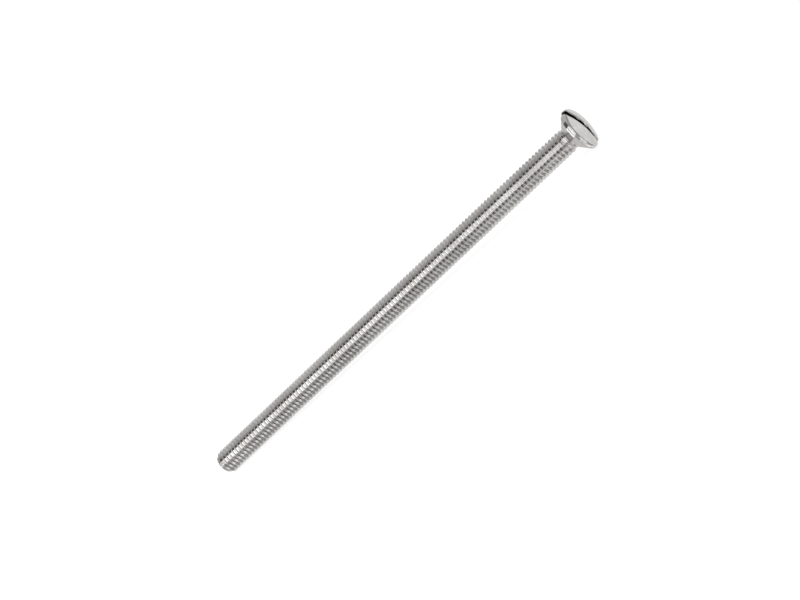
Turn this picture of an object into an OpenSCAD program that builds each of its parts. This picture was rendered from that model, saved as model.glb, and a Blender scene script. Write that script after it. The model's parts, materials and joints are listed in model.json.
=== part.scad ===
// Slotted raised-countersunk machine screw, threaded up to its head.
//
// One cold-headed, thread-rolled piece, drawn the way that it lies on a bench: the
// head towards +X, the end towards -X and the driver slot upright, so that the rim
// stands on the two corners left by the slot and the shank touches with the first
// crest at its end. The origin is on the bench, under the middle of the screw.
//
// The shank is the cylinder over the crests of the thread, which is the surface that
// a nut or a tapped hole goes over. The neck has the blank's diameter and the end is
// bevelled to just inside the root, so both follow the pitch. The dome's height
// follows from its sphere, the head's diameter and the shoulder round its rim.

/* [Thread] */
// Diameter over the crests of the thread
thread_d = 3.4; // [3.3:0.05:3.6]
// Distance from one crest to the next
pitch = 0.6; // [0.5:0.05:0.7]
// How far the flat end stays inside the root of the thread
end_inset = 0.03; // [0:0.01:0.1]
// Angle between the axis and the bevel that leads the thread in, in degrees
end_bevel = 30; // [25:5:45]

/* [Length] */
// Distance from the flat end to the rim of the head
screw_length = 70; // [20:1:90]
// Length of the plain neck between the thread and the fillet under the head
neck_length = 0.1; // [0.05:0.05:1]

/* [Head] */
// Diameter of the head
head_d = 6.1; // [5.6:0.1:7.4]
// Full angle of the countersunk cone, in degrees
countersink_angle = 90; // [80:1:100]
// Height of the straight land between the cone and the rim
land_height = 0.3; // [0.2:0.05:0.5]
// Radius of the sphere that the dome is a cap of
dome_radius = 8.5; // [6.5:0.5:12]
// Radius of the shoulder that rolls from the rim to the dome
rim_radius = 0.4; // [0.1:0.05:0.5]
// Radius of the fillet between the neck and the cone
neck_fillet = 0.3; // [0.1:0.05:0.8]

/* [Slot] */
// Width of the driver slot
slot_width = 1; // [0.6:0.05:1.2]
// Depth of the slot's flat floor below the top of the dome
slot_depth = 1.5; // [1:0.05:1.8]

/* [Hidden] */
$fn = 96;

STEEL = "silver";
// A metric thread's diameter less these many pitches gives the pitch diameter, to
// which the blank is drawn, and the diameter of the rounded root
PITCH_DIAMETER_DROP = 0.6495;
ROOT_DIAMETER_DROP = 1.2269;
// Slope of the surface over which the thread runs out into the neck, in degrees
RUNOUT_SLOPE = 30;
// How far the slot's cutter passes the head on each side
CUTTER_PASS = 1;

thread_r = thread_d / 2;
neck_r = (thread_d - PITCH_DIAMETER_DROP * pitch) / 2;
end_r = (thread_d - ROOT_DIAMETER_DROP * pitch) / 2 - end_inset;
head_r = head_d / 2;
cone_slope = countersink_angle / 2;

// Stations along the screw's own axis, counted from its flat end
bevel_end = (thread_r - end_r) / tan(end_bevel);
land_start = screw_length - land_height;
cone_start = land_start - (head_r - neck_r) / tan(cone_slope);
// Distance from the corner of neck and cone to where the fillet touches each of them
fillet_reach = neck_fillet * tan(cone_slope / 2);
runout_end = cone_start - fillet_reach - neck_length;
runout_start = runout_end - (thread_r - neck_r) / tan(RUNOUT_SLOPE);

// Centre, as radius and station, of the shoulder that leaves the land at the rim
rim_centre = [head_r - rim_radius, screw_length];
dome_centre = screw_length - sqrt(pow(dome_radius - rim_radius, 2) - pow(rim_centre[0], 2));
dome_top = dome_centre + dome_radius;
slot_floor = dome_top - slot_depth;

// At rest the land stands on the slot's corners, or on its full circle where the
// slot stops short of it, and the axis rises towards the head
rest_r = slot_floor < land_start ? sqrt(pow(head_r, 2) - pow(slot_width / 2, 2)) : head_r;
rest_rise = atan((rest_r - thread_r) / (land_start - bevel_end));
rest_height = thread_r * cos(rest_rise) - bevel_end * sin(rest_rise);
rest_back = -end_r * sin(rest_rise);
rest_front = dome_centre * cos(rest_rise) + sqrt(pow(dome_radius, 2) - pow(slot_width / 2, 2));

// Bevelled end, thread, run-out, neck and cone, up to the rim at the top of the land
module shank_profile() {
  polygon([
    [0, 0],
    [end_r, 0],
    [thread_r, bevel_end],
    [thread_r, runout_start],
    [neck_r, runout_end],
    [neck_r, cone_start],
    [head_r, land_start],
    [head_r, screw_length],
    [0, screw_length]
  ]);
}

// The corner between neck and cone, less the circle that touches both
module fillet_profile() {
  corner = [neck_r, cone_start];
  centre = [neck_r + neck_fillet, cone_start - fillet_reach];
  on_neck = [neck_r, cone_start - fillet_reach];
  on_cone = corner + fillet_reach * [sin(cone_slope), cos(cone_slope)];
  difference() {
    polygon([corner, on_neck, centre, on_cone]);
    translate(centre) circle(r = neck_fillet);
  }
}

// The dome, up to the line on which the shoulder touches it, and the shoulder itself
module dome_profile() {
  touch_line_r = rim_centre[0] * dome_radius / (screw_length - dome_centre);
  intersection() {
    translate([0, dome_centre]) circle(r = dome_radius);
    polygon([[0, screw_length], rim_centre, [touch_line_r, dome_top], [0, dome_top]]);
  }
  translate(rim_centre) circle(r = rim_radius);
}

// The headed blank stands on its flat end, with its axis along Z
module blank() {
  rotate_extrude() {
    shank_profile();
    fillet_profile();
    dome_profile();
  }
}

// The straight slot across the dome, open at both sides of the head
module slot_cutter() {
  cutter = [head_d + 2 * CUTTER_PASS, slot_width, slot_depth + CUTTER_PASS];
  translate([-cutter[0] / 2, -cutter[1] / 2, slot_floor]) cube(cutter);
}

module screw() {
  color(STEEL)
    translate([-(rest_back + rest_front) / 2, 0, rest_height])
      rotate([0, 90 - rest_rise, 0])
        difference() {
          blank();
          slot_cutter();
        }
}

screw();
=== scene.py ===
"""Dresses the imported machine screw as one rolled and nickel-plated piece, in a white studio.

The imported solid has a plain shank. One mesh takes its place, with the helical thread, its
run-out under the head, the cupped end, the softened edges of the head and its slot, and the
nicks that the cutter left in the slot's lips. Sizes are in millimetres until a mesh is
placed, and in metres after that.
"""

import json
import logging
import math
from dataclasses import dataclass, field
from enum import Enum

import bpy
import numpy as np
from mathutils import Matrix, Vector


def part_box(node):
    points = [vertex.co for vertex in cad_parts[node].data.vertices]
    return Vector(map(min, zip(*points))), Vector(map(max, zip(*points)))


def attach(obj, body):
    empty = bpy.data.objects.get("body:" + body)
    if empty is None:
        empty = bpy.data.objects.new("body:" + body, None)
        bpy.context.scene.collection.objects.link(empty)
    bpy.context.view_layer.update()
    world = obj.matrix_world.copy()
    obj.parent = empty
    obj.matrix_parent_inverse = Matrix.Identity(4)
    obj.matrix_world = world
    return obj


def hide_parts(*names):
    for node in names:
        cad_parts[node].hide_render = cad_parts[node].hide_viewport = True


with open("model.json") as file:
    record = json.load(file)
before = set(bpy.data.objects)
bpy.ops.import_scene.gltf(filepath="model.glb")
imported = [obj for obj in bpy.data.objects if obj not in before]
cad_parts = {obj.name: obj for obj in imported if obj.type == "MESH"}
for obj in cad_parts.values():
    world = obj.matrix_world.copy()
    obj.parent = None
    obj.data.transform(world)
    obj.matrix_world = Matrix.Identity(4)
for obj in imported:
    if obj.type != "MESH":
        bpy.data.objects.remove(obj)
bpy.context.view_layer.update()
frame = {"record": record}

MM = 0.001
# One number, or one for each point
Spread = np.ndarray | float

logging.basicConfig(level=logging.INFO, format="%(message)s")
log = logging.getLogger("screw")


# ---------------------------------------------------------------- colours and nodes


def linear(hex_colour: str) -> tuple[float, float, float, float]:
    """Turns an sRGB colour into the linear values that shaders take.

    Args:
        hex_colour: The colour as #RRGGBB.

    Returns:
        Red, green, blue and an alpha of 1.
    """
    channels = [int(hex_colour[i : i + 2], 16) / 255 for i in (1, 3, 5)]
    low = [c / 12.92 if c <= 0.04045 else ((c + 0.055) / 1.055) ** 2.4 for c in channels]
    return (*low, 1.0)


def add_node(tree: bpy.types.NodeTree, kind: str, **settings: object) -> bpy.types.Node:
    """Adds a node, sets its values and links what feeds it.

    Args:
        tree: The node tree to add to.
        kind: The node's Blender type.
        **settings: A value of type dict named inputs gives sockets by name or number, each a
            value or the output socket that feeds it. Any other setting is a node attribute.

    Returns:
        The new node.
    """
    node = tree.nodes.new(kind)
    sockets = settings.pop("inputs", {})
    for name, value in settings.items():
        setattr(node, name, value)
    for name, value in sockets.items():
        if isinstance(value, bpy.types.NodeSocket):
            tree.links.new(value, node.inputs[name])
        else:
            node.inputs[name].default_value = value
    return node


def fresh_tree(owner: bpy.types.ID) -> bpy.types.NodeTree:
    """Switches an object's or material's nodes on and returns the emptied tree."""
    owner.use_nodes = True
    owner.node_tree.nodes.clear()
    return owner.node_tree


# ---------------------------------------------------------------- sizes and placing


@dataclass(frozen=True)
class Bench:
    """Where the screw's own axis lies in the frame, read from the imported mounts.

    A point of the screw is given by its station along the axis from the flat end, its
    sideways place across the slot and its place up along the slot.
    """

    end: Vector
    ahead: Vector
    across: Vector
    up: Vector

    @classmethod
    def from_mounts(cls, end_to_middle: float) -> "Bench":
        """Reads the axis from the thread's mount.

        Args:
            end_to_middle: Station of the mount's point, in millimetres.

        Returns:
            The bench with its three directions.
        """
        thread = next(m for m in frame["record"]["mounts"] if m["name"] == "thread")
        ahead = -Vector(thread["axis"]).normalized()
        across = Vector((0.0, 1.0, 0.0))
        middle = Vector(thread["pos_m"])
        return cls(middle - ahead * end_to_middle * MM, ahead, across, ahead.cross(across))

    def place(self, points: np.ndarray) -> np.ndarray:
        """Carries points of the screw into the frame.

        Formula: the end, and from there each of the three numbers along its own direction.

        Args:
            points: Station, across and up in millimetres, a row for each point.

        Returns:
            The points in metres in the frame, a row each.
        """
        axes = np.array([self.ahead, self.across, self.up]) * MM
        return np.array(self.end) + points @ axes


class MeshStock:
    """Points and faces gathered patch by patch, then put into one closed mesh."""

    def __init__(self) -> None:
        """Starts with no points and no faces."""
        self.points: list[np.ndarray] = []
        self.film_and_shade: list[np.ndarray] = []
        self.corners: list[np.ndarray] = []
        self.counts: list[np.ndarray] = []
        self.size = 0

    def add(
        self, station: Spread, across: Spread, up: Spread, film_and_shade: Spread = 0.0
    ) -> np.ndarray:
        """Adds points given as arrays that broadcast to one shape.

        Args:
            station: Distance along the axis from the flat end.
            across: Sideways distance from the axis, over the width of the slot.
            up: Distance from the axis along the slot.
            film_and_shade: 0 where a polishing cloth reaches, 1 at the bottom of a groove. It
            darkens the colour there, for a duller film and as painted shade in the hollows.

        Returns:
            The points' numbers, in the shape of the arrays.
        """
        parts = np.broadcast_arrays(station, across, up, film_and_shade)
        shape = parts[0].shape
        numbers = self.size + np.arange(parts[0].size).reshape(shape)
        self.points.append(np.stack([p.ravel() for p in parts[:3]], axis=1).astype(float))
        self.film_and_shade.append(parts[3].ravel().astype(float))
        self.size += numbers.size
        return numbers

    def faces(self, corners: np.ndarray) -> None:
        """Adds faces of one corner count and drops the corners that repeat.

        Args:
            corners: Point numbers, a row for each face.
        """
        kept = corners != np.roll(corners, 1, axis=1)
        whole = kept.sum(axis=1) > 2
        self.corners.append(corners[whole][kept[whole]])
        self.counts.append(kept[whole].sum(axis=1))

    def grid(self, numbers: np.ndarray) -> None:
        """Adds the four-cornered faces between the rows and columns of a grid of points.

        Args:
            numbers: Point numbers. Rows then columns turn the outside to the viewer.
        """
        near, far = numbers[:-1], numbers[1:]
        quads = np.stack([near[:, :-1], far[:, :-1], far[:, 1:], near[:, 1:]], axis=-1)
        self.faces(quads.reshape(-1, 4))

    def to_mesh(self, name: str, bench: Bench) -> bpy.types.Mesh:
        """Puts the gathered points and faces into a mesh.

        Args:
            name: The mesh's name.
            bench: Carries the points into the frame.

        Returns:
            The mesh, smooth, with a float attribute on its points for the duller film and the
            painted shade of the hollows.
        """
        corners = np.concatenate(self.corners)
        counts = np.concatenate(self.counts)
        used, corners = np.unique(corners, return_inverse=True)
        points = bench.place(np.concatenate(self.points)[used])
        mesh = bpy.data.meshes.new(name)
        mesh.vertices.add(len(points))
        mesh.vertices.foreach_set("co", points.astype(np.float32).ravel())
        mesh.loops.add(len(corners))
        mesh.loops.foreach_set("vertex_index", corners.astype(np.int32).ravel())
        mesh.polygons.add(len(counts))
        starts = np.concatenate([[0], np.cumsum(counts)[:-1]])
        mesh.polygons.foreach_set("loop_start", starts.astype(np.int32))
        mesh.polygons.foreach_set("use_smooth", np.ones(len(counts), dtype=bool))
        mesh.update(calc_edges=True)
        film_and_shade = mesh.attributes.new("film_and_shade", "FLOAT", "POINT")
        film_and_shade.data.foreach_set("value", np.concatenate(self.film_and_shade)[used].astype(np.float32))
        mesh.validate()
        return mesh


def soft_ramp(height: np.ndarray, reach: float) -> np.ndarray:
    """Rounds the corner of a ramp that is zero below zero and climbs at 1 above it.

    Formula: (height + reach) squared over 4 * reach within reach of the corner, which
    meets the level and the climb with no kink.

    Args:
        height: Where on the ramp.
        reach: How far each side of the corner the rounding goes.

    Returns:
        The rounded ramp's height.
    """
    bend = (height + reach) ** 2 / (4 * reach)
    return np.where(height < -reach, 0.0, np.where(height > reach, height, bend))


def round_corner(
    before: tuple[float, float],
    corner: tuple[float, float],
    after: tuple[float, float],
    radius: float,
    steps: int,
) -> np.ndarray:
    """Works out the arc that rounds the corner of a profile and touches both its legs.

    Formula: the centre lies on the corner's bisector, radius over the sine of half the
    corner's angle away, and the arc turns about it from one touching point to the other.

    Args:
        before: A point on the leg that arrives, as radius and station.
        corner: The corner.
        after: A point on the leg that leaves.
        radius: The arc's radius.
        steps: How many pieces the arc is in.

    Returns:
        The arc's points, a row each.
    """
    corner_at = np.array(corner)
    back = np.array(before) - corner_at
    on = np.array(after) - corner_at
    back /= np.linalg.norm(back)
    on /= np.linalg.norm(on)
    half = math.acos(float(back @ on)) / 2
    middle = (back + on) / np.linalg.norm(back + on)
    centre = corner_at + middle * radius / math.sin(half)
    first = corner_at + back * radius / math.tan(half) - centre
    last = corner_at + on * radius / math.tan(half) - centre
    span = math.pi - 2 * half
    share = np.linspace(0, 1, steps + 1)[:, None]
    arc = np.sin((1 - share) * span) * first + np.sin(share * span) * last
    return centre + arc / math.sin(span)


# ---------------------------------------------------------------- the screw's parts


class Handedness(Enum):
    """Which way a thread winds. A right-hand one is driven in clockwise."""

    RIGHT = 1
    LEFT = -1


@dataclass
class CuppedEnd:
    """The end of the shank, flat at its edge and a little cupped where the dies drew it out."""

    end_r: float = 1.302
    bevel: float = math.radians(30)
    edge_break: float = 0.05
    cup_depth: float = 0.14
    edge_rows: int = 4
    cup_rows: int = 7
    # How much the cupped end is darkened: a duller film and painted shade in its hollow
    film_and_shade: float = 0.2

    @property
    def edge_r(self) -> float:
        """Radius where the rounding of the edge meets the bevel."""
        return self.end_r + self.edge_break * math.tan(self.bevel)

    def build(self, stock: MeshStock, ring: np.ndarray, turn: float) -> None:
        """Closes the end from the thread's first ring to the middle.

        Formula: a parabola takes the bevel into the end plane, then the cup deepens with the
        square of a sine towards the middle, where the last ring folds to a point.

        Args:
            stock: Gathers the points and faces.
            ring: Point numbers of the thread's ring at the end.
            turn: Angle of the first column.
        """
        bend = np.linspace(0, 1, self.edge_rows + 1)[1:]
        edge_r = self.edge_r - 2 * self.edge_break * math.tan(self.bevel) * bend
        share = np.linspace(0, 1, self.cup_rows + 1)[1:-1]
        radius = np.concatenate([edge_r, edge_r[-1] * (1 - share)])[:, None]
        station = np.concatenate([self.edge_break * (1 - bend) ** 2,
                                  self.cup_depth * np.sin(share * math.pi / 2) ** 2])[:, None]
        angle = turn + 2 * math.pi * np.arange(len(ring)) / len(ring)
        inner = stock.add(station, radius * np.cos(angle), radius * np.sin(angle), self.film_and_shade)
        middle = np.full(len(ring), stock.add(self.cup_depth, 0.0, 0.0, self.film_and_shade))
        rows = np.vstack([middle, inner[::-1], ring])
        stock.grid(np.hstack([rows, rows[:, :1]]).T)


@dataclass
class RolledThread:
    """The thread, one helical groove that rolling dies pressed into the drawn blank."""

    crest_r: float = 1.7
    pitch: float = 0.6
    hand: Handedness = Handedness.RIGHT
    columns: int = 72
    # Share of a pitch by which the first crest is turned from the slot
    lead: float = 0.37
    # The standard profile, as shares of the pitch: half the crest's flat, the groove's depth,
    # how far its corners are rounded, and the depth of the pitch line
    crest_flat: float = 1 / 16
    groove_depth: float = 0.6134
    corner_reach: float = 0.1
    pitch_line: float = 0.6495 / 2
    # How steeply a flank of the 60-degree groove falls
    flank_climb: float = math.sqrt(3)
    # Places across one pitch, as shares of it, close together over crest and root
    stations: tuple[float, ...] = (-0.44, -0.385, -0.09, -0.05, 0, 0.05, 0.09, 0.385, 0.44, 0.5)
    runout_slope: float = math.radians(30)
    # Turns laid out past each end, which fold into the end's ring
    spare_turns: int = 2
    # How close to a ring a point folds into it, as a share of the pitch
    fold_reach: float = 0.01
    # How dark the ring at the neck is drawn: a duller film and painted shade in the corner under
    # the head
    neck_film_and_shade: float = 0.5

    @property
    def root_r(self) -> float:
        """Radius at the bottom of the groove."""
        return self.crest_r - self.groove_depth * self.pitch

    @property
    def blank_r(self) -> float:
        """Radius of the drawn blank, which is that of the thread's pitch line."""
        return self.crest_r - self.pitch_line * self.pitch

    @property
    def runout_length(self) -> float:
        """How far the slope takes from the crests down to the blank."""
        return (self.crest_r - self.blank_r) / math.tan(self.runout_slope)

    def depth(self, share: np.ndarray) -> np.ndarray:
        """Gives the groove's depth, as a share of the pitch.

        Formula: a flank that falls at the tangent of 60 degrees from the edge of the crest's
        flat, rounded at the crest, then levelled and rounded again at the root.

        Args:
            share: Distance from the middle of a crest, as a share of the pitch.

        Returns:
            Depth below the crest.
        """
        fall = soft_ramp((np.abs(share) - self.crest_flat) * self.flank_climb, self.corner_reach)
        return self.groove_depth - soft_ramp(self.groove_depth - fall, self.corner_reach)

    def build(
        self, stock: MeshStock, end: CuppedEnd, stop: float, turn: float
    ) -> tuple[np.ndarray, np.ndarray]:
        """Builds the threaded length between two plain rings.

        Formula: column i stands at the angle turn + i / columns of a turn, and its point k at
        the station pitch * (k's place + lead + i / columns), with a minus before i for a
        left-hand thread. So the last column joins the first one pitch further on. The radius
        is the crest's less the groove's depth, held under the bevel at the end and under the
        slope of the run-out, and the groove rises to the blank over its last pitch. Points
        past either end fold into that end's ring.

        Args:
            stock: Gathers the points and faces.
            end: The bevelled end that the thread starts from.
            stop: Station of the ring at the neck.
            turn: Angle of the first column.

        Returns:
            The point numbers of the ring at the end and of the ring at the neck.
        """
        per_pitch = len(self.stations)
        pitches = math.ceil(stop / self.pitch) + 2 * self.spare_turns
        place = (np.arange(pitches)[:, None] - self.spare_turns + np.array(self.stations)).ravel()
        column = np.arange(self.columns)[:, None]
        along = self.pitch * (place + self.lead + self.hand.value * column / self.columns)
        share = np.tile(np.array(self.stations), pitches)
        cut = self.depth(share) * self.pitch
        fade = np.clip((stop - along) / self.pitch, 0, 1)
        groove = self.blank_r + (self.crest_r - cut - self.blank_r) * fade * (2 - fade)
        bevel = end.end_r + along * math.tan(end.bevel)
        slope = self.blank_r + (stop - along) * math.tan(self.runout_slope)
        radius = np.minimum(np.minimum(groove, bevel), slope)
        angle = turn + 2 * math.pi * column / self.columns
        # Darker colour towards the groove's root: a duller film and painted shade there
        film_and_shade = np.clip((self.crest_r - radius) / (self.crest_r - self.root_r), 0, 1)
        numbers = stock.add(along, radius * np.cos(angle), radius * np.sin(angle), film_and_shade)
        side = angle[:, 0]
        end_ring = stock.add(end.edge_break, end.edge_r * np.cos(side), end.edge_r * np.sin(side))
        neck_ring = stock.add(stop, self.blank_r * np.cos(side), self.blank_r * np.sin(side),
                              self.neck_film_and_shade)
        merge = self.fold_reach * self.pitch
        numbers = np.where(along < end.edge_break + merge, end_ring[:, None], numbers)
        numbers = np.where(along > stop - merge, neck_ring[:, None], numbers)
        shifted = np.arange(len(place)) + self.hand.value * per_pitch
        joined = numbers[0][np.clip(shifted, 0, len(place) - 1)]
        stock.grid(np.vstack([numbers, joined]))
        return end_ring, neck_ring


@dataclass(frozen=True)
class HalfRims:
    """Point numbers of one half of the head that the slot's floor joins on to.

    The strip is the quarter-round along the lip and the foot is the wall's lowest row.
    """

    strip: np.ndarray
    foot: np.ndarray


@dataclass
class SlottedHead:
    """The raised countersunk head, from the neck to the dome with the driver slot across it."""

    head_r: float = 3.05
    # The land's own radius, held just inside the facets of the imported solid
    land_r: float = 3.05
    screw_length: float = 70.0
    land_height: float = 0.3
    dome_r: float = 8.5
    rim_radius: float = 0.4
    neck_fillet: float = 0.3
    neck_length: float = 0.1
    land_break: float = 0.05
    slot_width: float = 1.0
    slot_depth: float = 1.5
    edge_break: float = 0.11
    # Depth of the broken edge down the side, less than the radius of the land's own
    side_break: float = 0.035
    # The cutter leaves the slot's lips uneven: how much deeper the round goes at a nick, the
    # place of one nick along the slot and the distance from nick to nick
    nick_depth: float = 0.6
    nick_place: float = 0.95
    nick_spacing: float = 1.27
    # How suddenly a nick starts, and how far down to the rim it may go
    nick_sharpness: float = 1.5
    nick_limit: float = 0.75
    half_columns: int = 32
    slot_columns: int = 4
    dome_rows: int = 16
    cone_rows: int = 8
    arc_steps: int = 5
    break_steps: int = 3
    # Darker colour, for a duller film where polishing can't reach and as painted shade: in the
    # neck's corner, which fades this fast up the cone, on the slot's walls and on its floor
    corner_film_and_shade: float = 0.8
    corner_fade: float = 3.0
    wall_film_and_shade: float = 0.3
    floor_film_and_shade: float = 0.9

    @property
    def land_start(self) -> float:
        """Station where the cone meets the land."""
        return self.screw_length - self.land_height

    def neck_station(self, neck_r: float) -> float:
        """Station where the thread has run out and the plain neck begins."""
        cone_start = self.land_start - (self.head_r - neck_r)
        return cone_start - self.neck_fillet * math.tan(math.pi / 8) - self.neck_length

    @property
    def floor_station(self) -> float:
        """Station of the slot's floor."""
        return self.dome_centre + self.dome_r - self.slot_depth

    @property
    def floor_r(self) -> float:
        """Radius of the cone where the slot's floor comes out of it."""
        return self.land_r - (self.land_start - self.floor_station)

    @property
    def lip(self) -> float:
        """Half the slot's width at the outside of its broken edges."""
        return self.slot_width / 2 + self.edge_break

    @property
    def dome_centre(self) -> float:
        """Station of the centre of the sphere that the dome is a cap of."""
        reach = self.dome_r - self.rim_radius
        return self.screw_length - math.sqrt(reach**2 - (self.head_r - self.rim_radius) ** 2)

    def opening(self, radius: Spread) -> np.ndarray:
        """Angle from the middle of a half of the head to the slot's lip at a radius."""
        return np.arccos(self.lip / np.asarray(radius))

    def ring_angles(self) -> np.ndarray:
        """Gives the angle of each column where the slot's floor comes out of the cone.

        Formula: even steps over one half, other even steps over the slot's end, and the same
        again half a turn on.

        Returns:
            The angles, once round.
        """
        open_to = float(self.opening(self.floor_r))
        half = np.linspace(-open_to, open_to, self.half_columns + 1)
        gap = np.linspace(open_to, math.pi - open_to, self.slot_columns + 1)
        one_side = np.concatenate([half[:-1], gap[:-1]])
        return np.concatenate([one_side, one_side + math.pi])

    def side_profile(self) -> np.ndarray:
        """Works out the outside of the head from the slot's floor to the dome's edge.

        Formula: straight up the cone, an arc over its corner with the land, straight up the
        land, and the shoulder's arc, which touches both the land and the dome's sphere.

        Returns:
            Radius and station, a row for each point.
        """
        foot = (self.floor_r, self.floor_station)
        corner = (self.land_r, self.land_start)
        centre_r = self.land_r - self.rim_radius
        reach = self.dome_r - self.rim_radius
        centre_s = self.dome_centre + math.sqrt(reach**2 - centre_r**2)
        last = math.acos(centre_r / reach)
        bend = np.linspace(0, last, self.arc_steps + 1)
        rim = np.stack([centre_r + self.rim_radius * np.cos(bend),
                        centre_s + self.rim_radius * np.sin(bend)], axis=1)
        edge = round_corner(foot, corner, (self.land_r, self.screw_length),
                            self.land_break, self.break_steps)
        return np.vstack([foot, edge, rim])

    def build(self, stock: MeshStock, neck: np.ndarray, neck_r: float) -> None:
        """Builds the head up from the ring at the neck.

        Args:
            stock: Gathers the points and faces.
            neck: Point numbers of the thread's ring at the neck.
            neck_r: Radius of that ring.
        """
        floor_ring = self.build_cone(stock, neck, neck_r)
        count = self.half_columns + self.slot_columns
        around = np.append(floor_ring, floor_ring[0])
        halves = [self.build_half(stock, around[at : at + self.half_columns + 1], way)
                  for at, way in ((0, 1), (count, -1))]
        self.build_floor(stock, around, halves)

    def build_cone(self, stock: MeshStock, neck: np.ndarray, neck_r: float) -> np.ndarray:
        """Builds the neck, its fillet and the cone as far as the slot's floor.

        Formula: rings of the profile, each ring's angles sliding from the thread's even steps
        at the neck to the head's own at the slot's floor.

        Args:
            stock: Gathers the points and faces.
            neck: Point numbers of the ring at the neck.
            neck_r: Radius of that ring.

        Returns:
            Point numbers of the ring at the slot's floor.
        """
        cone_start = self.land_start - (self.head_r - neck_r)
        foot = np.array([self.floor_r, self.floor_station])
        fillet = round_corner((neck_r, 0), (neck_r, cone_start), tuple(foot),
                              self.neck_fillet, self.arc_steps)
        share = np.linspace(0, 1, self.cone_rows + 1)[1:, None]
        profile = np.vstack([fillet, fillet[-1] + (foot - fillet[-1]) * share])
        slide = (profile[:, :1] - neck_r) / (self.floor_r - neck_r)
        own = self.ring_angles()
        even = own[0] + 2 * math.pi * np.arange(len(own)) / len(own)
        angle = even + (own - even) * slide
        # Painted shade and a duller film in the neck's corner, fading up the cone
        corner = np.clip(1 - self.corner_fade * slide, 0, 1) * self.corner_film_and_shade
        rings = stock.add(profile[:, 1:], profile[:, :1] * np.cos(angle),
                          profile[:, :1] * np.sin(angle), corner)
        rows = np.vstack([neck, rings])
        stock.grid(np.hstack([rows, rows[:, :1]]).T)
        return rings[-1]

    def build_half(self, stock: MeshStock, foot: np.ndarray, way: int) -> HalfRims:
        """Builds one half of the head above the slot's floor.

        Formula: the outside is the side profile turned between the slot's two lips. The dome
        runs from the rim straight across to the lip, at the height of its sphere. Along the
        lip's outline a quarter-round sinks to the wall, and the wall is a flat grid inside it.
        Over the dome the round goes deeper, most so wherever a cosine along the slot is high,
        but never further than three quarters of the way down to the rim.

        Args:
            stock: Gathers the points and faces.
            foot: Point numbers of this half's arc of the ring at the slot's floor.
            way: 1 for the half on the positive side, -1 for the other, turned half a turn.

        Returns:
            What the slot's floor joins on to.
        """
        side = self.side_profile()
        share = np.linspace(-1, 1, self.half_columns + 1)
        angle = self.opening(side[1:, :1]) * share
        wall = stock.add(side[1:, 1:], way * side[1:, :1] * np.cos(angle),
                         way * side[1:, :1] * np.sin(angle))
        outside = np.vstack([foot, wall])
        stock.grid(outside.T)

        rim_r = side[-1, 0]
        rim_angle = self.opening(rim_r) * share
        rise = rim_r * np.sin(rim_angle)
        blend = np.linspace(0, 1, self.dome_rows + 1)[1:, None]
        over = rim_r * np.cos(rim_angle) * (1 - blend) + self.lip * blend
        top = self.dome_centre + np.sqrt(self.dome_r**2 - over**2 - rise**2)
        cap = stock.add(top, way * over, way * rise)
        cap[:, 0], cap[:, -1] = outside[-1, 0], outside[-1, -1]
        dome = np.vstack([outside[-1], cap])
        stock.grid(dome.T)

        # The lip's outline, up one side, over the dome and down the other side
        up_r = np.sqrt(side[:, 0] ** 2 - self.lip**2)
        outline = np.vstack([
            np.stack([-up_r, side[:, 1]], axis=1),
            np.stack([rise, top[-1]], axis=1)[1:-1],
            np.stack([up_r, side[:, 1]], axis=1)[::-1],
        ])
        lip = np.concatenate([outside[:, 0], dome[-1, 1:-1], outside[::-1, -1]])
        run = np.gradient(outline, axis=0)
        run /= np.linalg.norm(run, axis=1)[:, None]
        inward = np.stack([run[:, 1], -run[:, 0]], axis=1)
        inward[[0, -1]] = [[1 / inward[0, 0], 0], [1 / inward[-1, 0], 0]]
        bend = np.linspace(0, math.pi / 2, self.break_steps + 1)[1:, None]
        above = np.clip(outline[:, 1] - side[-1, 1], 0, None)
        wave = np.cos(2 * math.pi * (way * outline[:, 0] - self.nick_place) / self.nick_spacing)
        nick = np.clip(1 + self.nick_sharpness * (wave - 1), 0, 1) * self.nick_depth
        depth = self.side_break + np.minimum(self.edge_break + nick, self.nick_limit * above)
        sunk = outline[None] + inward[None] * (depth * (1 - np.cos(bend)))[:, :, None]
        level = self.lip - self.edge_break * np.sin(bend)
        # Down the round into the slot the colour darkens: painted shade and a duller film
        deep = np.clip((self.screw_length - sunk[:, :, 1]) / self.slot_depth + 0.5, 0, 1)
        round_rows = stock.add(sunk[:, :, 1], way * level, way * sunk[:, :, 0],
                               deep * self.wall_film_and_shade)
        strip = np.vstack([lip, round_rows])
        stock.grid(strip.T)

        rows = len(side)
        inner = strip[-1]
        reach = sunk[-1, :rows]
        across_share = rise / rise[-1]
        # The slot's wall is darkened too: painted shade and a duller film
        face = stock.add(reach[:, 1:], way * self.slot_width / 2,
                         way * -reach[:, :1] * across_share, self.wall_film_and_shade)
        face[:, 0], face[:, -1] = inner[:rows], inner[::-1][:rows]
        crown = inner[rows - 1 : len(inner) - rows + 1]
        stock.grid(np.vstack([face, crown]))
        return HalfRims(strip, face[0])

    def build_floor(self, stock: MeshStock, ring: np.ndarray, halves: list[HalfRims]) -> None:
        """Builds the slot's floor between the two walls and out to the cone.

        Formula: a flat grid with a line under each column of the ring's gaps. At each end the
        lines run out to the ring, and a small corner face takes in each quarter-round's foot.

        Args:
            stock: Gathers the points and faces.
            ring: Point numbers of the ring at the slot's floor, closed.
            halves: What the two halves of the head returned.
        """
        half, gap = self.half_columns, self.slot_columns
        first, second = halves
        open_to = float(self.opening(self.floor_r))
        line = np.linspace(open_to, math.pi - open_to, gap + 1)[1:-1]
        level = self.floor_r * np.cos(line)
        up = np.concatenate(stock.points)[first.foot, 2]
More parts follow.
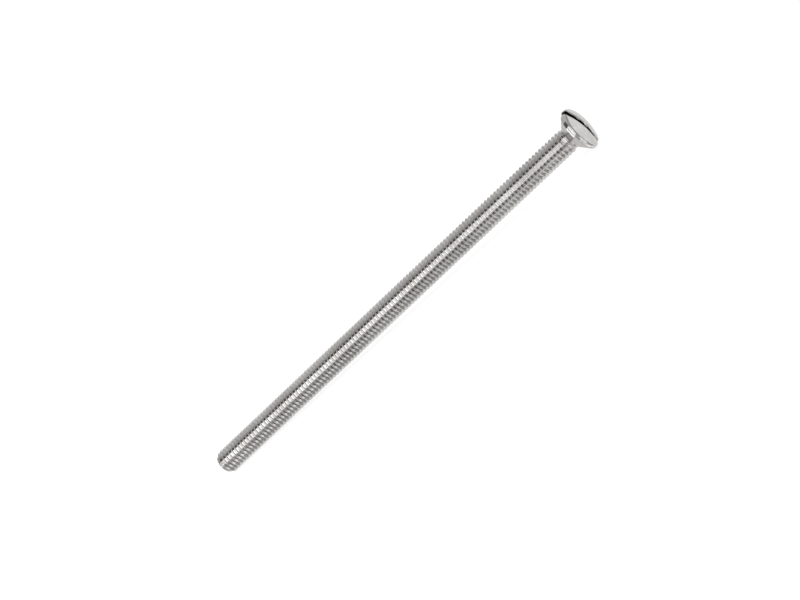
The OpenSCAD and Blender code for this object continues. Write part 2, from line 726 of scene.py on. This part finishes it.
        # The slot's floor is darkened most: painted shade and a duller film
        inner = stock.add(self.floor_station, level, up[:, None], self.floor_film_and_shade)
        floor = np.column_stack([first.foot, inner, second.foot[::-1]])
        stock.grid(floor)
        for turn, (edge, near, far) in enumerate((
            (floor[-1], first.strip[:, -1], second.strip[:, 0]),
            (floor[0, ::-1], second.strip[:, -1], first.strip[:, 0]),
        )):
            at = half + turn * (half + gap)
            outer = ring[at : at + gap + 1]
            stock.grid(np.vstack([edge[1:-1], outer[1:-1]]))
            stock.faces(np.concatenate([near[::-1], outer[1:2], edge[1:2]])[None])
            stock.faces(np.concatenate([edge[-2:-1], outer[-2:-1], far])[None])


# ---------------------------------------------------------------- finish


@dataclass(frozen=True)
class BrightNickelPlate:
    """Bright nickel over rolled and cold-headed steel.

    It gives the eye a near-white metal, a little warm and clouded, whose reflections are
    almost a mirror's, so the lamps' edges stay clear in every turn of the thread. The thin
    plate keeps the fine drag marks of the dies and a faint waviness. In the grooves, the slot
    and the neck's corner the colour is darkened, for a duller film that polishing never
    reaches and as painted shade of those hollows. Real clouds in the plate and real drag
    marks are too fine to show here, so both are drawn coarser than life.
    """

    bright: str = "#EDECEB"
    warm: str = "#D4D2D0"
    # The dark tone mixed into the hollows: a duller film and painted shade
    film_and_shade_colour: str = "#A09C97"
    film_and_shade_share: float = 0.35
    roughness: float = 0.06
    roughness_spread: float = 0.02
    film_roughness: float = 0.1
    cloud_mm: float = 4.0
    # Small clouds of the bath, a tenth of a millimetre in life
    mottle_mm: float = 0.55
    # Drag marks of the dies, a few hundredths of a millimetre in life
    grain_mm: float = 0.12
    grain_height_mm: float = 0.0016
    ripple_mm: float = 0.7
    ripple_height_mm: float = 0.0005
    # How broken up each pattern is
    cloud_detail: float = 3.0
    grain_detail: float = 2.0
    ripple_detail: float = 1.0
    # Where the two clouds together go from bright to warm, and the grain from smooth to rough
    cloud_range: tuple[float, float] = (0.75, 1.25)
    grain_range: tuple[float, float] = (0.3, 0.7)

    def noise(
        self, tree: bpy.types.NodeTree, size_mm: float, detail: float
    ) -> bpy.types.NodeSocket:
        """Adds a noise pattern in Object coordinates.

        Args:
            tree: The material's node tree.
            size_mm: How large its patches are.
            detail: How broken up they are.

        Returns:
            The socket that gives its value.
        """
        place = add_node(tree, "ShaderNodeTexCoord").outputs["Object"]
        return add_node(tree, "ShaderNodeTexNoise", inputs={
            "Vector": place, "Scale": 1 / (size_mm * MM), "Detail": detail}).outputs["Fac"]

    def material(self) -> bpy.types.Material:
        """Builds the material on Object coordinates and the attribute of film and painted shade.

        Returns:
            The material.
        """
        made = bpy.data.materials.new("bright_nickel_plate")
        tree = fresh_tree(made)
        film_and_shade = add_node(tree, "ShaderNodeAttribute", attribute_name="film_and_shade").outputs["Fac"]
        cloud = self.noise(tree, self.cloud_mm, self.cloud_detail)
        mottle = self.noise(tree, self.mottle_mm, self.cloud_detail)
        grain = self.noise(tree, self.grain_mm, self.grain_detail)
        ripple = self.noise(tree, self.ripple_mm, self.ripple_detail)
        patches = add_node(tree, "ShaderNodeMath", operation="ADD", inputs={
            0: cloud, 1: mottle})
        tint = add_node(tree, "ShaderNodeMapRange", inputs={
            "Value": patches.outputs[0],
            "From Min": self.cloud_range[0], "From Max": self.cloud_range[1]})
        plate = add_node(tree, "ShaderNodeMix", data_type="RGBA", inputs={
            "Factor": tint.outputs["Result"], "A": linear(self.bright), "B": linear(self.warm)})
        # Towards the dark tone where the attribute is high: a duller film and painted shade
        film_and_shade_mix = add_node(tree, "ShaderNodeMath", operation="MULTIPLY", inputs={
            0: film_and_shade, 1: self.film_and_shade_share})
        colour = add_node(tree, "ShaderNodeMix", data_type="RGBA", inputs={
            "Factor": film_and_shade_mix.outputs[0], "A": plate.outputs["Result"], "B": linear(self.film_and_shade_colour)})
        patchy = add_node(tree, "ShaderNodeMapRange", inputs={
            "Value": grain, "From Min": self.grain_range[0], "From Max": self.grain_range[1],
            "To Min": self.roughness, "To Max": self.roughness + self.roughness_spread})
        rough = add_node(tree, "ShaderNodeMapRange", inputs={
            "Value": film_and_shade, "To Min": patchy.outputs["Result"], "To Max": self.film_roughness})
        fine = add_node(tree, "ShaderNodeBump", inputs={
            "Strength": 1.0, "Distance": self.grain_height_mm * MM, "Height": grain})
        wavy = add_node(tree, "ShaderNodeBump", inputs={
            "Strength": 1.0, "Distance": self.ripple_height_mm * MM,
            "Height": ripple, "Normal": fine.outputs["Normal"]})
        shader = add_node(tree, "ShaderNodeBsdfPrincipled", inputs={
            "Metallic": 1.0, "Base Color": colour.outputs["Result"],
            "Roughness": rough.outputs["Result"], "Normal": wavy.outputs["Normal"]})
        add_node(tree, "ShaderNodeOutputMaterial", inputs={"Surface": shader.outputs["BSDF"]})
        return made


@dataclass
class MachineScrew:
    """The whole screw: thread, cupped end and slotted head in one closed mesh."""

    thread: RolledThread = field(default_factory=RolledThread)
    end: CuppedEnd = field(default_factory=CuppedEnd)
    head: SlottedHead = field(default_factory=SlottedHead)
    plate: BrightNickelPlate = field(default_factory=BrightNickelPlate)
    # Angle past which an edge between two faces stays crisp
    crisp_angle: float = math.radians(50)

    def __post_init__(self) -> None:
        """Keeps the head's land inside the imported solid's facets."""
        low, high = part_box("screw")
        self.head.land_r = (high.y - low.y) / 2 / MM

    def bench(self) -> Bench:
        """Finds the screw's axis, whose mount is at the middle of the full thread."""
        bevel_stop = (self.thread.crest_r - self.end.end_r) / math.tan(self.end.bevel)
        full_stop = self.head.neck_station(self.thread.blank_r) - self.thread.runout_length
        return Bench.from_mounts((bevel_stop + full_stop) / 2)

    def build(self) -> bpy.types.Object:
        """Builds, places and dresses the screw.

        Returns:
            The object, which stands for the CAD node "screw".
        """
        head, thread = self.head, self.thread
        stop = head.neck_station(thread.blank_r)
        turn = float(head.ring_angles()[0])
        stock = MeshStock()
        end_ring, neck_ring = thread.build(stock, self.end, stop, turn)
        self.end.build(stock, end_ring, turn)
        head.build(stock, neck_ring, thread.blank_r)
        mesh = stock.to_mesh("threaded_screw", self.bench())
        mesh.set_sharp_from_angle(angle=self.crisp_angle)
        mesh.materials.append(self.plate.material())
        made = bpy.data.objects.new("threaded_screw", mesh)
        bpy.context.scene.collection.objects.link(made)
        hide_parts("screw")
        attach(made, "root")
        return made


# ---------------------------------------------------------------- studio


@dataclass(frozen=True)
class View:
    """Where the camera stands, in degrees and millimetres.

    The angles are how far the way to it leans from the screw's axis, how far it rises round
    the axis and how far the picture is rolled. The target is a station, across and up. The
    numbers come from a fit of the screw's outline, made outside this script.
    """

    off_axis: float = 64.92
    rise: float = 16.145
    roll: float = 43.35
    distance: float = 407.758
    lens: float = 141.45
    sensor: float = 36.0
    target: tuple[float, float, float] = (35.65, -0.0454, -0.1569)
    # Nearest and furthest that it sees, in metres
    clip: tuple[float, float] = (0.01, 10.0)


@dataclass(frozen=True)
class Card:
    """One flat card of the studio, whose long side follows the screw.

    Its edges are given as angles seen from the middle of the screw: low and high go round
    the axis from the front up over the top, and left and right lean from square to the axis
    towards the flat end and the head. Its distance is in metres. A tone of 1 is white.
    """

    name: str
    low: float
    high: float
    left: float
    right: float
    distance: float
    tone: float

    def corners(self) -> np.ndarray:
        """Works out the corners from the middle of the screw.

        Formula: the card is square to the way that lies half between low and high, and each
        edge is distance times the tangent of its angle from there.

        Returns:
            The four corners, a row each, in metres.
        """
        turn = math.radians((self.low + self.high) / 2)
        away = np.array([0.0, -math.cos(turn), math.sin(turn)]) * self.distance
        reach = self.distance * math.tan(math.radians((self.high - self.low) / 2))
        wide = np.array([0.0, math.sin(turn), math.cos(turn)]) * reach
        left, right = self.distance * np.tan(np.radians([self.left, self.right]))
        return np.array([away + wide * side + np.array([along, 0.0, 0.0])
                         for side, along in ((-1, left), (-1, right), (1, right), (1, left))])


@dataclass(frozen=True)
class EndCard:
    """One square card across the axis, past the head or past the flat end, in metres."""

    name: str
    distance: float
    half: float
    tone: float

    def corners(self) -> np.ndarray:
        """Works out the four corners from the middle of the screw, in metres."""
        return np.array([[self.distance, self.half * a, self.half * b]
                         for a, b in ((-1, -1), (1, -1), (1, 1), (-1, 1))])


@dataclass(frozen=True)
class Lamp:
    """A square soft lamp that points at the middle of the screw, in metres and watts."""

    name: str
    place: tuple[float, float, float]
    size: float
    watts: float


# Found by a search outside this script and then rounded: the edges to 5 degrees, and the
# sizes, distances and tones to 0.05 or 0.1. Only two tones, those of softbox_front_head and
# softbox_back, were then lowered.
CARDS = (
    # The bright strip along the front: three softboxes side by side
    Card("softbox_front_end", 5, 70, -40, -20, 0.30, 2.1),
    Card("softbox_front_middle", 15, 60, -5, 10, 0.45, 2.5),
    Card("softbox_front_head", 10, 60, 0, 30, 0.25, 1.2),
    # A narrow one that the flanks next to the head catch
    Card("strip_front_head", 10, 60, 45, 55, 0.30, 1.9),
    # The dark line above it, and the even grey over the top
    Card("flag_top", 60, 90, -50, 20, 0.20, 0.1),
    Card("ceiling", 80, 160, -60, 45, 0.45, 0.55),
    # The pale back and its one dark corner, past the flat end
    Card("flag_back", 115, 170, -60, -35, 0.20, 0.05),
    Card("softbox_back", 140, 210, -50, 15, 0.40, 0.85),
    Card("grey_back", 175, 250, -5, 70, 0.20, 0.8),
    # The dark and pale lines under the bright strip
    Card("flag_low", 290, 395, 0, 5, 0.25, 0.1),
    Card("softbox_low_head", 290, 340, 20, 70, 0.25, 1.0),
    Card("grey_front", -25, 5, -15, 65, 0.45, 0.45),
    # Large grey cards past the two ends
    EndCard("end_head", 0.6, 6.0, 0.35),
    EndCard("end_tip", -0.25, 0.8, 0.65),
)

# They light only the floor, since polished metal mirrors the cards and the world
LAMPS = (
    Lamp("soft_top", (-0.2, -0.3, 0.8), 0.6, 12),
    Lamp("soft_back", (0.3, 0.5, 0.6), 0.6, 6),
)


@dataclass
class Studio:
    """A white room and floor, soft lamps and the cards that bright metal mirrors."""

    bench: Bench
    floor_half: float = 1.5
    white: str = "#FFFFFF"
    # What the world lends to rays that neither the camera nor a mirror sends
    fill: float = 0.6
    # Share of the floor's white that is its own, so that the rest shows the shadow
    floor_glow: float = 0.9
    # Station of the point that the cards' angles are seen from
    middle: float = 35.4

    def white_rays(self, tree: bpy.types.NodeTree) -> bpy.types.NodeSocket:
        """Gives 1 for camera, glossy and transmission rays and 0 for the rest."""
        rays = add_node(tree, "ShaderNodeLightPath").outputs
        shiny = add_node(tree, "ShaderNodeMath", operation="MAXIMUM", inputs={
            0: rays["Is Camera Ray"], 1: rays["Is Glossy Ray"]})
        return add_node(tree, "ShaderNodeMath", operation="MAXIMUM", inputs={
            0: shiny.outputs[0], 1: rays["Is Transmission Ray"]}).outputs[0]

    def build_world(self) -> None:
        """Makes the world white to the eye and in mirrors, and a soft fill elsewhere."""
        world = bpy.data.worlds.new("white_room")
        tree = fresh_tree(world)
        shade = add_node(tree, "ShaderNodeMapRange", inputs={
            "Value": self.white_rays(tree), "To Min": self.fill, "To Max": 1.0})
        light = add_node(tree, "ShaderNodeBackground", inputs={
            "Color": linear(self.white), "Strength": shade.outputs["Result"]})
        add_node(tree, "ShaderNodeOutputWorld", inputs={"Surface": light.outputs[0]})
        bpy.context.scene.world = world

    def build_floor(self) -> bpy.types.Object:
        """Makes the floor, white with the screw's soft shadow on it.

        Returns:
            The floor.
        """
        half = self.floor_half
        mesh = bpy.data.meshes.new("white_floor")
        mesh.from_pydata([(-half, -half, 0), (half, -half, 0), (half, half, 0), (-half, half, 0)],
                         [], [(0, 1, 2, 3)])
        paper = bpy.data.materials.new("matt_white_paper")
        tree = fresh_tree(paper)
        matt = add_node(tree, "ShaderNodeBsdfDiffuse", inputs={"Color": linear(self.white)})
        glow = add_node(tree, "ShaderNodeEmission", inputs={
            "Color": linear(self.white), "Strength": 1.0})
        share = add_node(tree, "ShaderNodeMath", operation="MULTIPLY", inputs={
            0: self.white_rays(tree), 1: self.floor_glow})
        mixed = add_node(tree, "ShaderNodeMixShader", inputs={
            0: share.outputs[0], 1: matt.outputs[0], 2: glow.outputs[0]})
        add_node(tree, "ShaderNodeOutputMaterial", inputs={"Surface": mixed.outputs[0]})
        mesh.materials.append(paper)
        floor = bpy.data.objects.new("white_floor", mesh)
        floor.visible_glossy = False
        bpy.context.scene.collection.objects.link(floor)
        return floor

    def build_card(self, card: Card | EndCard) -> bpy.types.Object:
        """Hangs one card round the screw.

        Args:
            card: Where it hangs, how large it is and its tone.

        Returns:
            The card, which only mirrors see.
        """
        middle = self.bench.place(np.array([[self.middle, 0.0, 0.0]]))[0]
        mesh = bpy.data.meshes.new(card.name)
        mesh.from_pydata((card.corners() + middle).tolist(), [], [(0, 1, 2, 3)])
        cloth = bpy.data.materials.new(card.name)
        tree = fresh_tree(cloth)
        glow = add_node(tree, "ShaderNodeEmission", inputs={
            "Color": (1, 1, 1, 1), "Strength": card.tone})
        add_node(tree, "ShaderNodeOutputMaterial", inputs={"Surface": glow.outputs[0]})
        mesh.materials.append(cloth)
        made = bpy.data.objects.new(card.name, mesh)
        for ray in ("camera", "diffuse", "shadow", "transmission", "volume_scatter"):
            setattr(made, f"visible_{ray}", False)
        bpy.context.scene.collection.objects.link(made)
        return made

    def build_lamp(self, lamp: Lamp) -> bpy.types.Object:
        """Hangs one lamp, which neither the camera nor a mirror sees.

        Args:
            lamp: Where it hangs, its size and its power.

        Returns:
            The lamp's object.
        """
        data = bpy.data.lights.new(lamp.name, "AREA")
        data.size, data.energy = lamp.size, lamp.watts
        made = bpy.data.objects.new(lamp.name, data)
        made.location = lamp.place
        made.rotation_euler = (-Vector(lamp.place)).to_track_quat("-Z", "Y").to_euler()
        made.visible_camera = False
        made.visible_glossy = False
        bpy.context.scene.collection.objects.link(made)
        return made

    def build_camera(self, view: View) -> bpy.types.Object:
        """Sets the camera up at its angle round the screw.

        Formula: the way to the camera leans from the axis towards the head by view.off_axis
        and up from level by view.rise round the axis, and the picture is rolled so that the
        axis climbs to the right.

        Args:
            view: The camera's angles, distance, lens and target.

        Returns:
            The camera.
        """
        bench = self.bench
        lean, rise, roll = (math.radians(a) for a in (view.off_axis, view.rise, view.roll))
        side = bench.up * math.sin(rise) - bench.across * math.cos(rise)
        away = bench.ahead * math.cos(lean) + side * math.sin(lean)
        first = (bench.ahead - away * bench.ahead.dot(away)).normalized()
        second = away.cross(first)
        right = first * math.cos(roll) - second * math.sin(roll)
        above = first * math.sin(roll) + second * math.cos(roll)
        station, across, up = view.target
        target = bench.end + (bench.ahead * station + bench.across * across + bench.up * up) * MM
        data = bpy.data.cameras.new("camera")
        data.lens, data.sensor_width = view.lens, view.sensor
        data.clip_start, data.clip_end = view.clip
        camera = bpy.data.objects.new("camera", data)
        turned = Matrix((right, above, away)).transposed().to_4x4()
        camera.matrix_world = Matrix.Translation(target + away * view.distance * MM) @ turned
        bpy.context.scene.collection.objects.link(camera)
        bpy.context.scene.camera = camera
        return camera


def main() -> None:
    """Builds the screw, the studio round it and the camera, and reports each."""
    scene = bpy.context.scene
    scene.view_settings.view_transform = "Standard"
    screw = MachineScrew()
    made = screw.build()
    mesh = made.data
    log.info("%s: %d points, %d faces", made.name, len(mesh.vertices), len(mesh.polygons))
    studio = Studio(screw.bench())
    studio.build_world()
    log.info("%s: made", studio.build_floor().name)
    for card in CARDS:
        log.info("%s: hung", studio.build_card(card).name)
    for lamp in LAMPS:
        log.info("%s: hung", studio.build_lamp(lamp).name)
    log.info("%s: set up", studio.build_camera(View()).name)


if __name__ == "__main__":
    main()
